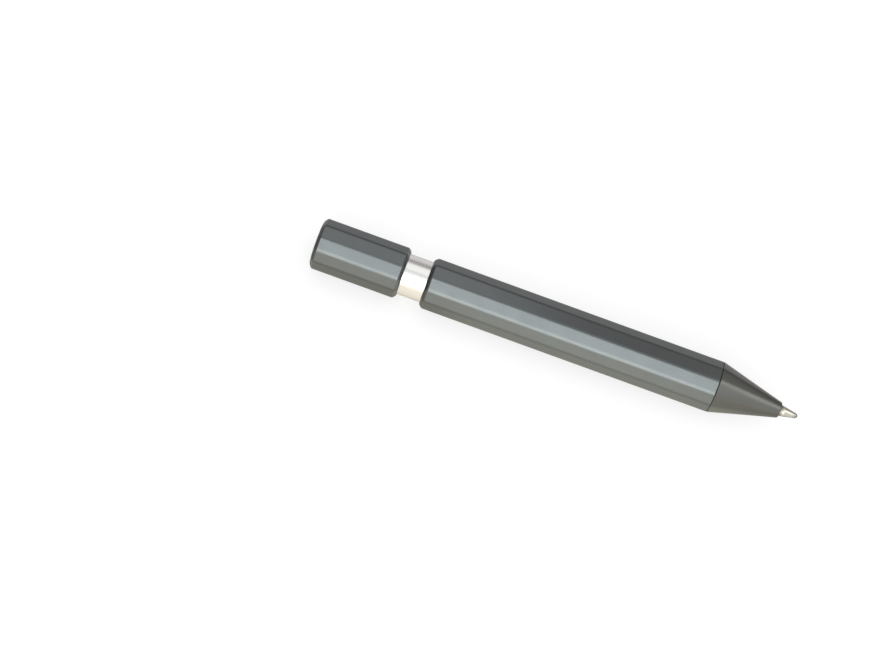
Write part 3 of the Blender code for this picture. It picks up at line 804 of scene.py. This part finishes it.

# %% [markdown]
# ## Dressing the pieces
# Each new piece stands for the node of the same shape and moves with that node's body. The spring is the
# exception: one end follows the refill and the other stays in the nose, so it is left unattached, with its
# place put into its mesh. The nodes that stay, all inside the pen, keep their shape and only change finish.

# %% Ride, replace and paint
DRESSED = [
    (cap, "twist_cap", "cap", "lacquer_cap", cap_grey),
    (barrel, "barrel", "barrel", "lacquer_barrel", barrel_grey),
    (nose, "nose_cone", "barrel", "lacquer_nose", nose_grey),
    (neck, "neck_sleeve", "barrel", "polished_neck", bright_neck),
    (point, "tip_socket", "refill", "nickel_silver", pale_point),
    (ball, "writing_ball", "ball", "steel", hard_ball),
]
for piece, node, body, slot, finish in DRESSED:
    piece.data.materials.append(finish)
    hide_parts(node)
    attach(piece, body)

spring.data.materials.append(spring_steel)
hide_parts("return_spring")
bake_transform(spring)

KEPT = {
    "brass": turned_brass,
    "refill_metal": turned_brass,
    "steel": spring_steel,
    "nylon": white_nylon,
    "ring_rubber": ring_rubber,
}
replaced = {"return_spring", *(node for _, node, *_ in DRESSED)}
kept = [part for part in frame["record"]["subparts"] if part["node"] not in replaced]
for part in kept:
    node = frame["nodes"][part["node"]]
    node.data.materials.clear()
    node.data.materials.append(KEPT[part["material_slot"]])
print(f"dressed {len(replaced)} new pieces, painted {len(kept)} kept ones")

# %% [markdown]
# ## Floor
# The pen lies on a plain white table. A white floor that is only lit would need strong lamps, which would
# also bleach the pen. Here most of the table's brightness is given only to rays that look at it, which the
# Light Path node tells apart, and the rest is real light that a shadow can dim.

# %% White table
FLOOR_SIZE = 6
FLOOR_DROP = 0.00002
PAPER_SHADE, PAPER_ROUGH = (0.9, 0.9, 0.9, 1), 0.9
bpy.ops.object.select_all(action="DESELECT")
bpy.ops.mesh.primitive_plane_add(size=FLOOR_SIZE, location=(0, 0, -FLOOR_DROP))
floor = bpy.context.object
floor.name = "table"
paper, surface, spot = new_finish("white table")
surface.inputs["Base Color"].default_value = PAPER_SHADE
surface.inputs["Roughness"].default_value = PAPER_ROUGH
floor.data.materials.append(paper)
print("table:", FLOOR_SIZE, "m square")

# %% [markdown]
# ## Telling rays apart
# Light Path says what kind of ray is asking for a colour: one from the camera, or one that a shiny surface
# has sent on. Two helpers use that, one to add up ray kinds and one to mix two colours by a factor.

# %% Ray helpers


def add_rays(tree, *names):
    """Add up some of Light Path's ray kinds."""
    path = tree.nodes.new("ShaderNodeLightPath")
    total = path.outputs[names[0]]
    for name in names[1:]:
        add = tree.nodes.new("ShaderNodeMath")
        add.use_clamp = True
        tree.links.new(total, add.inputs[0])
        tree.links.new(path.outputs[name], add.inputs[1])
        total = add.outputs["Value"]
    return total


def add_blend(tree, factor, first, second):
    """Mix two colours, each a socket or a fixed value."""
    blend = tree.nodes.new("ShaderNodeMix")
    blend.data_type = "RGBA"
    tree.links.new(factor, blend.inputs["Factor"])
    for name, tone in (("A", first), ("B", second)):
        if isinstance(tone, tuple):
            blend.inputs[name].default_value = tone
        else:
            tree.links.new(tone, blend.inputs[name])
    return blend.outputs["Result"]


# %% [markdown]
# ## Painted reflections on the table
# The table glows with these tones only for rays that a shiny surface sends on, so they are painted
# reflections:
# in the pen the table looks a little warm, brighter by the barrel, darker past the tail and by the nose, and
# cooler behind. A painted dark patch beside the tip, with no card there, draws a dark reflected line along
# the point. All of these are soft patches, found by their place on the table.

# %% Tones of the mirrored table
WHITE_SHARE = 0.7
WHITE = (1, 1, 1, 1)
# Tones that the table shows only in reflections, as painted reflections.
MIRRORED_BY_CAP = (0.91, 0.82, 0.66, 1)
MIRRORED_BY_BARREL = (1.24, 1.18, 0.97, 1)
MIRRORED_BY_NOSE = (0.62, 0.6, 0.53, 1)
MIRRORED_PAST_TAIL = (0.3, 0.28, 0.23, 1)
MIRRORED_BEHIND = (0.64, 0.61, 0.63, 1)
PAINTED_DARK_PATCH = (0.1, 0.1, 0.1, 1)
PAST_TAIL, BY_CAP, BY_BARREL = (-0.1, -0.065), (-0.036, -0.018), (0.036, 0.064)
IN_FRONT = (-0.005, 0.03)
# A painted dark patch on the table beside the tip, seen only in reflections.
DARK_PATCH_PLACE, DARK_PATCH_EDGE = (nose_front + 0.024, 0.02, 0), (0.014, 0.021)

tree = paper.node_tree
parts = add_parts(paper, spot)
to_dark_patch = tree.nodes.new("ShaderNodeVectorMath")
to_dark_patch.operation = "DISTANCE"
to_dark_patch.inputs[1].default_value = DARK_PATCH_PLACE
tree.links.new(spot.outputs["Object"], to_dark_patch.inputs[0])
# Painted reflections: these tones reach only rays that a shiny surface sends on.
mirrored = MIRRORED_BY_NOSE
for reach, patch in (
    (BY_BARREL, MIRRORED_BY_BARREL),
    (BY_CAP, MIRRORED_BY_CAP),
    (PAST_TAIL, MIRRORED_PAST_TAIL),
):
    mirrored = add_blend(tree, add_fade(paper, parts.outputs["X"], *reach), mirrored, patch)
mirrored = add_blend(tree, add_fade(paper, parts.outputs["Y"], *IN_FRONT), MIRRORED_BEHIND, mirrored)
mirrored = add_blend(tree, add_fade(paper, to_dark_patch.outputs["Value"], *DARK_PATCH_EDGE), mirrored, PAINTED_DARK_PATCH)
tone = add_blend(tree, add_rays(tree, "Is Camera Ray"), mirrored, WHITE)
glow = tree.nodes.new("ShaderNodeEmission")
tree.links.new(tone, glow.inputs["Color"])
seen = add_rays(tree, "Is Camera Ray", "Is Glossy Ray", "Is Transmission Ray")
mix = tree.nodes.new("ShaderNodeMixShader")
tree.links.new(add_math(paper, "MULTIPLY", seen, WHITE_SHARE), mix.inputs["Fac"])
tree.links.new(surface.outputs["BSDF"], mix.inputs[1])
tree.links.new(glow.outputs["Emission"], mix.inputs[2])
tree.links.new(mix.outputs["Shader"], tree.nodes["Material Output"].inputs["Surface"])
print("table finish:", len(tree.nodes), "nodes")

# %% [markdown]
# ## The room
# A metal pen is mostly a picture of the room round it. This room is white towards the viewer, greyer
# behind the pen and darker past its two ends, which is what separates one facet from the next and draws
# the dark rims. The back wall is pale under a darker strip, which draws the dark line between the two
# upper facets. Panels round the pen could do this too, but a world shader can be built from the
# direction of the ray alone.

# %% Pale room
ROOM_FILL = 0.9
ROOM_FRONT, ROOM_BACK, FRONT_TO_BACK = 1.09, 0.475, (-0.6, 0.35)
ROOM_STRIP, STRIP_FALL = 0.66, (0.58, 0.85)
ROOM_WALL, WALL_RISE = 2.2, (0.89, 0.98)
ROOM_ENDS, ENDS_RISE = 0.42, (0.5, 0.92)
world = bpy.data.worlds.new("pale room")
bpy.context.scene.world = world
world.use_nodes = True
tree = world.node_tree
fill = tree.nodes["Background"]
fill.inputs["Color"].default_value = WHITE
fill.inputs["Strength"].default_value = ROOM_FILL
plain = tree.nodes.new("ShaderNodeBackground")
plain.inputs["Color"].default_value = WHITE
room = tree.nodes.new("ShaderNodeBackground")
direction = tree.nodes.new("ShaderNodeTexCoord")
parts = tree.nodes.new("ShaderNodeSeparateXYZ")
tree.links.new(direction.outputs["Generated"], parts.inputs["Vector"])


def add_ramp(value, start, end, low, high):
    """A soft step of a value, from low at its start to high at its end."""
    ramp = tree.nodes.new("ShaderNodeMapRange")
    ramp.interpolation_type = "SMOOTHSTEP"
    for name, number in (("From Min", start), ("From Max", end), ("To Min", low), ("To Max", high)):
        ramp.inputs[name].default_value = number
    tree.links.new(value, ramp.inputs["Value"])
    return ramp.outputs["Result"]


sideways = add_math(world, "ABSOLUTE", parts.outputs["X"])
level = add_ramp(parts.outputs["Y"], *FRONT_TO_BACK, ROOM_FRONT, ROOM_BACK)
for ramp in (
    add_ramp(parts.outputs["Y"], *STRIP_FALL, 1, ROOM_STRIP),
    add_ramp(parts.outputs["Y"], *WALL_RISE, 1, ROOM_WALL),
    add_ramp(sideways, *ENDS_RISE, 1, ROOM_ENDS),
):
    level = add_math(world, "MULTIPLY", level, ramp)
tree.links.new(level, room.inputs["Strength"])
print("room:", len(tree.nodes), "nodes for its brightness")

# %% [markdown]
# ## Warm and cool sides of the room
# Low in front of the pen the room is warm, which gives the lower facets their olive cast. High up it is a
# little cool, and behind the pen it is close to neutral. Each tint is a soft step of the ray's direction.

# %% Tint of the room
ROOM_LOW, ROOM_HIGH, ROOM_BEHIND = (1.06, 0.97, 0.72, 1), (0.98, 1, 1, 1), (1, 0.965, 0.955, 1)
LOW_TO_HIGH, TO_BEHIND = (-1, -0.37), (0, 0.5)
upward = add_math(world, "ADD", parts.outputs["Y"], parts.outputs["Z"])
tint = add_blend(tree, add_ramp(upward, *LOW_TO_HIGH, 0, 1), ROOM_LOW, ROOM_HIGH)
tint = add_blend(tree, add_ramp(parts.outputs["Y"], *TO_BEHIND, 0, 1), tint, ROOM_BEHIND)
tree.links.new(tint, room.inputs["Color"])
print("room:", len(tree.nodes), "nodes with its tint")

# %% [markdown]
# ## Which ray sees which room
# The camera sees plain white, and a dull surface is lit by an even fill. Only what the pen mirrors is the
# shaded room, so its contrast stays on the pen and the background stays clean.

# %% Choosing by ray


def choose(factor, first, second):
    """Mix two shaders of the world by a ray factor."""
    mix = tree.nodes.new("ShaderNodeMixShader")
    tree.links.new(factor, mix.inputs["Fac"])
    tree.links.new(first, mix.inputs[1])
    tree.links.new(second, mix.inputs[2])
    return mix.outputs["Shader"]


by_mirror = add_rays(tree, "Is Glossy Ray", "Is Transmission Ray")
lit = choose(by_mirror, fill.outputs["Background"], room.outputs["Background"])
shown = choose(add_rays(tree, "Is Camera Ray"), lit, plain.outputs["Background"])
tree.links.new(shown, tree.nodes["World Output"].inputs["Surface"])
print("room:", len(tree.nodes), "nodes in all")

# %% [markdown]
# ## Lamps
# One large softbox stands low behind the viewer. The facet that faces the viewer catches its edge, and the
# eased edge below that facet catches it fully, as a bright line. A small card behind the tail lifts the
# upper facet of the cap and fades along the barrel, and another past the tip lights the nose. Brightness
# is set per area, so that a lamp can change its size and look as bright as before.

# %% Softboxes


def softbox(name, aim, elevation, lean, distance, size, brightness, colour):
    """A lamp that looks at a point; 90 degrees is overhead, and lean tips it past the pen's tip."""
    angle, tip = math.radians(elevation), math.radians(lean)
    away = Vector((math.sin(tip), -math.cos(angle) * math.cos(tip), math.sin(angle) * math.cos(tip)))
    bpy.ops.object.select_all(action="DESELECT")
    bpy.ops.object.light_add(type="AREA", location=Vector(aim) + distance * away)
    lamp = bpy.context.object
    lamp.name = name
    lamp.visible_camera = False
    lamp.data.shape = "RECTANGLE"
    lamp.data.size, lamp.data.size_y = size
    lamp.data.energy = brightness * math.pi * size[0] * size[1]
    lamp.data.color = colour
    lamp.rotation_euler = away.to_track_quat("Z", "Y").to_euler()
    print(f"{name}: {lamp.data.energy:.2f} W")


softbox("key", aim=(0.04, 0, axis_height), elevation=36.2, lean=0, distance=1.1,
        size=(0.78, 1.0), brightness=3.16, colour=(0.96, 1, 1))
softbox("tail card", aim=(-0.06, 0, axis_height), elevation=111, lean=0, distance=0.085,
        size=(0.11, 0.058), brightness=0.56, colour=(0.98, 1, 1))
softbox("nose card", aim=(nose_front, 0, axis_height), elevation=92, lean=39, distance=0.3,
        size=(0.2, 0.2), brightness=1.15, colour=(1, 1, 0.97))

# %% [markdown]
# ## Camera
# The viewer looks square at one facet from above and in front, so the pen lies across the view. The
# picture is rolled so that the pen runs down to the right, and the pen sits right of the middle. The
# camera's axes are worked out from the pen's, so no shift of the lens is needed.

# %% Camera
IMAGE_WIDTH = 870
PIXELS_PER_METRE = 3933.5
VIEW_DISTANCE = 0.535
VIEW_ELEVATION = math.radians(61.2)
PEN_SLOPE = math.radians(19.94)
MIDDLE_FROM_TAIL = 0.03603
MIDDLE_BELOW_AXIS = 0.0113
SENSOR_WIDTH = 36
NEAREST_SEEN = 0.01
forward = Vector((0, math.cos(VIEW_ELEVATION), -math.sin(VIEW_ELEVATION)))
across = Vector((0, math.sin(VIEW_ELEVATION), math.cos(VIEW_ELEVATION)))
along = Vector((1, 0, 0))
right = math.cos(PEN_SLOPE) * along + math.sin(PEN_SLOPE) * across
up = math.cos(PEN_SLOPE) * across - math.sin(PEN_SLOPE) * along
target = Vector((cap_rear + MIDDLE_FROM_TAIL, 0, axis_height)) - MIDDLE_BELOW_AXIS * across
bpy.ops.object.select_all(action="DESELECT")
bpy.ops.object.camera_add()
camera = bpy.context.object
camera.data.sensor_width = SENSOR_WIDTH
camera.data.lens = SENSOR_WIDTH * PIXELS_PER_METRE * VIEW_DISTANCE / IMAGE_WIDTH
camera.data.clip_start = NEAREST_SEEN
turn = Matrix((right, up, -forward)).transposed()
camera.matrix_world = Matrix.Translation(target - VIEW_DISTANCE * forward) @ turn.to_4x4()
bpy.context.scene.camera = camera
bpy.context.scene.view_settings.view_transform = "Standard"
print(f"lens {camera.data.lens:.1f} mm")
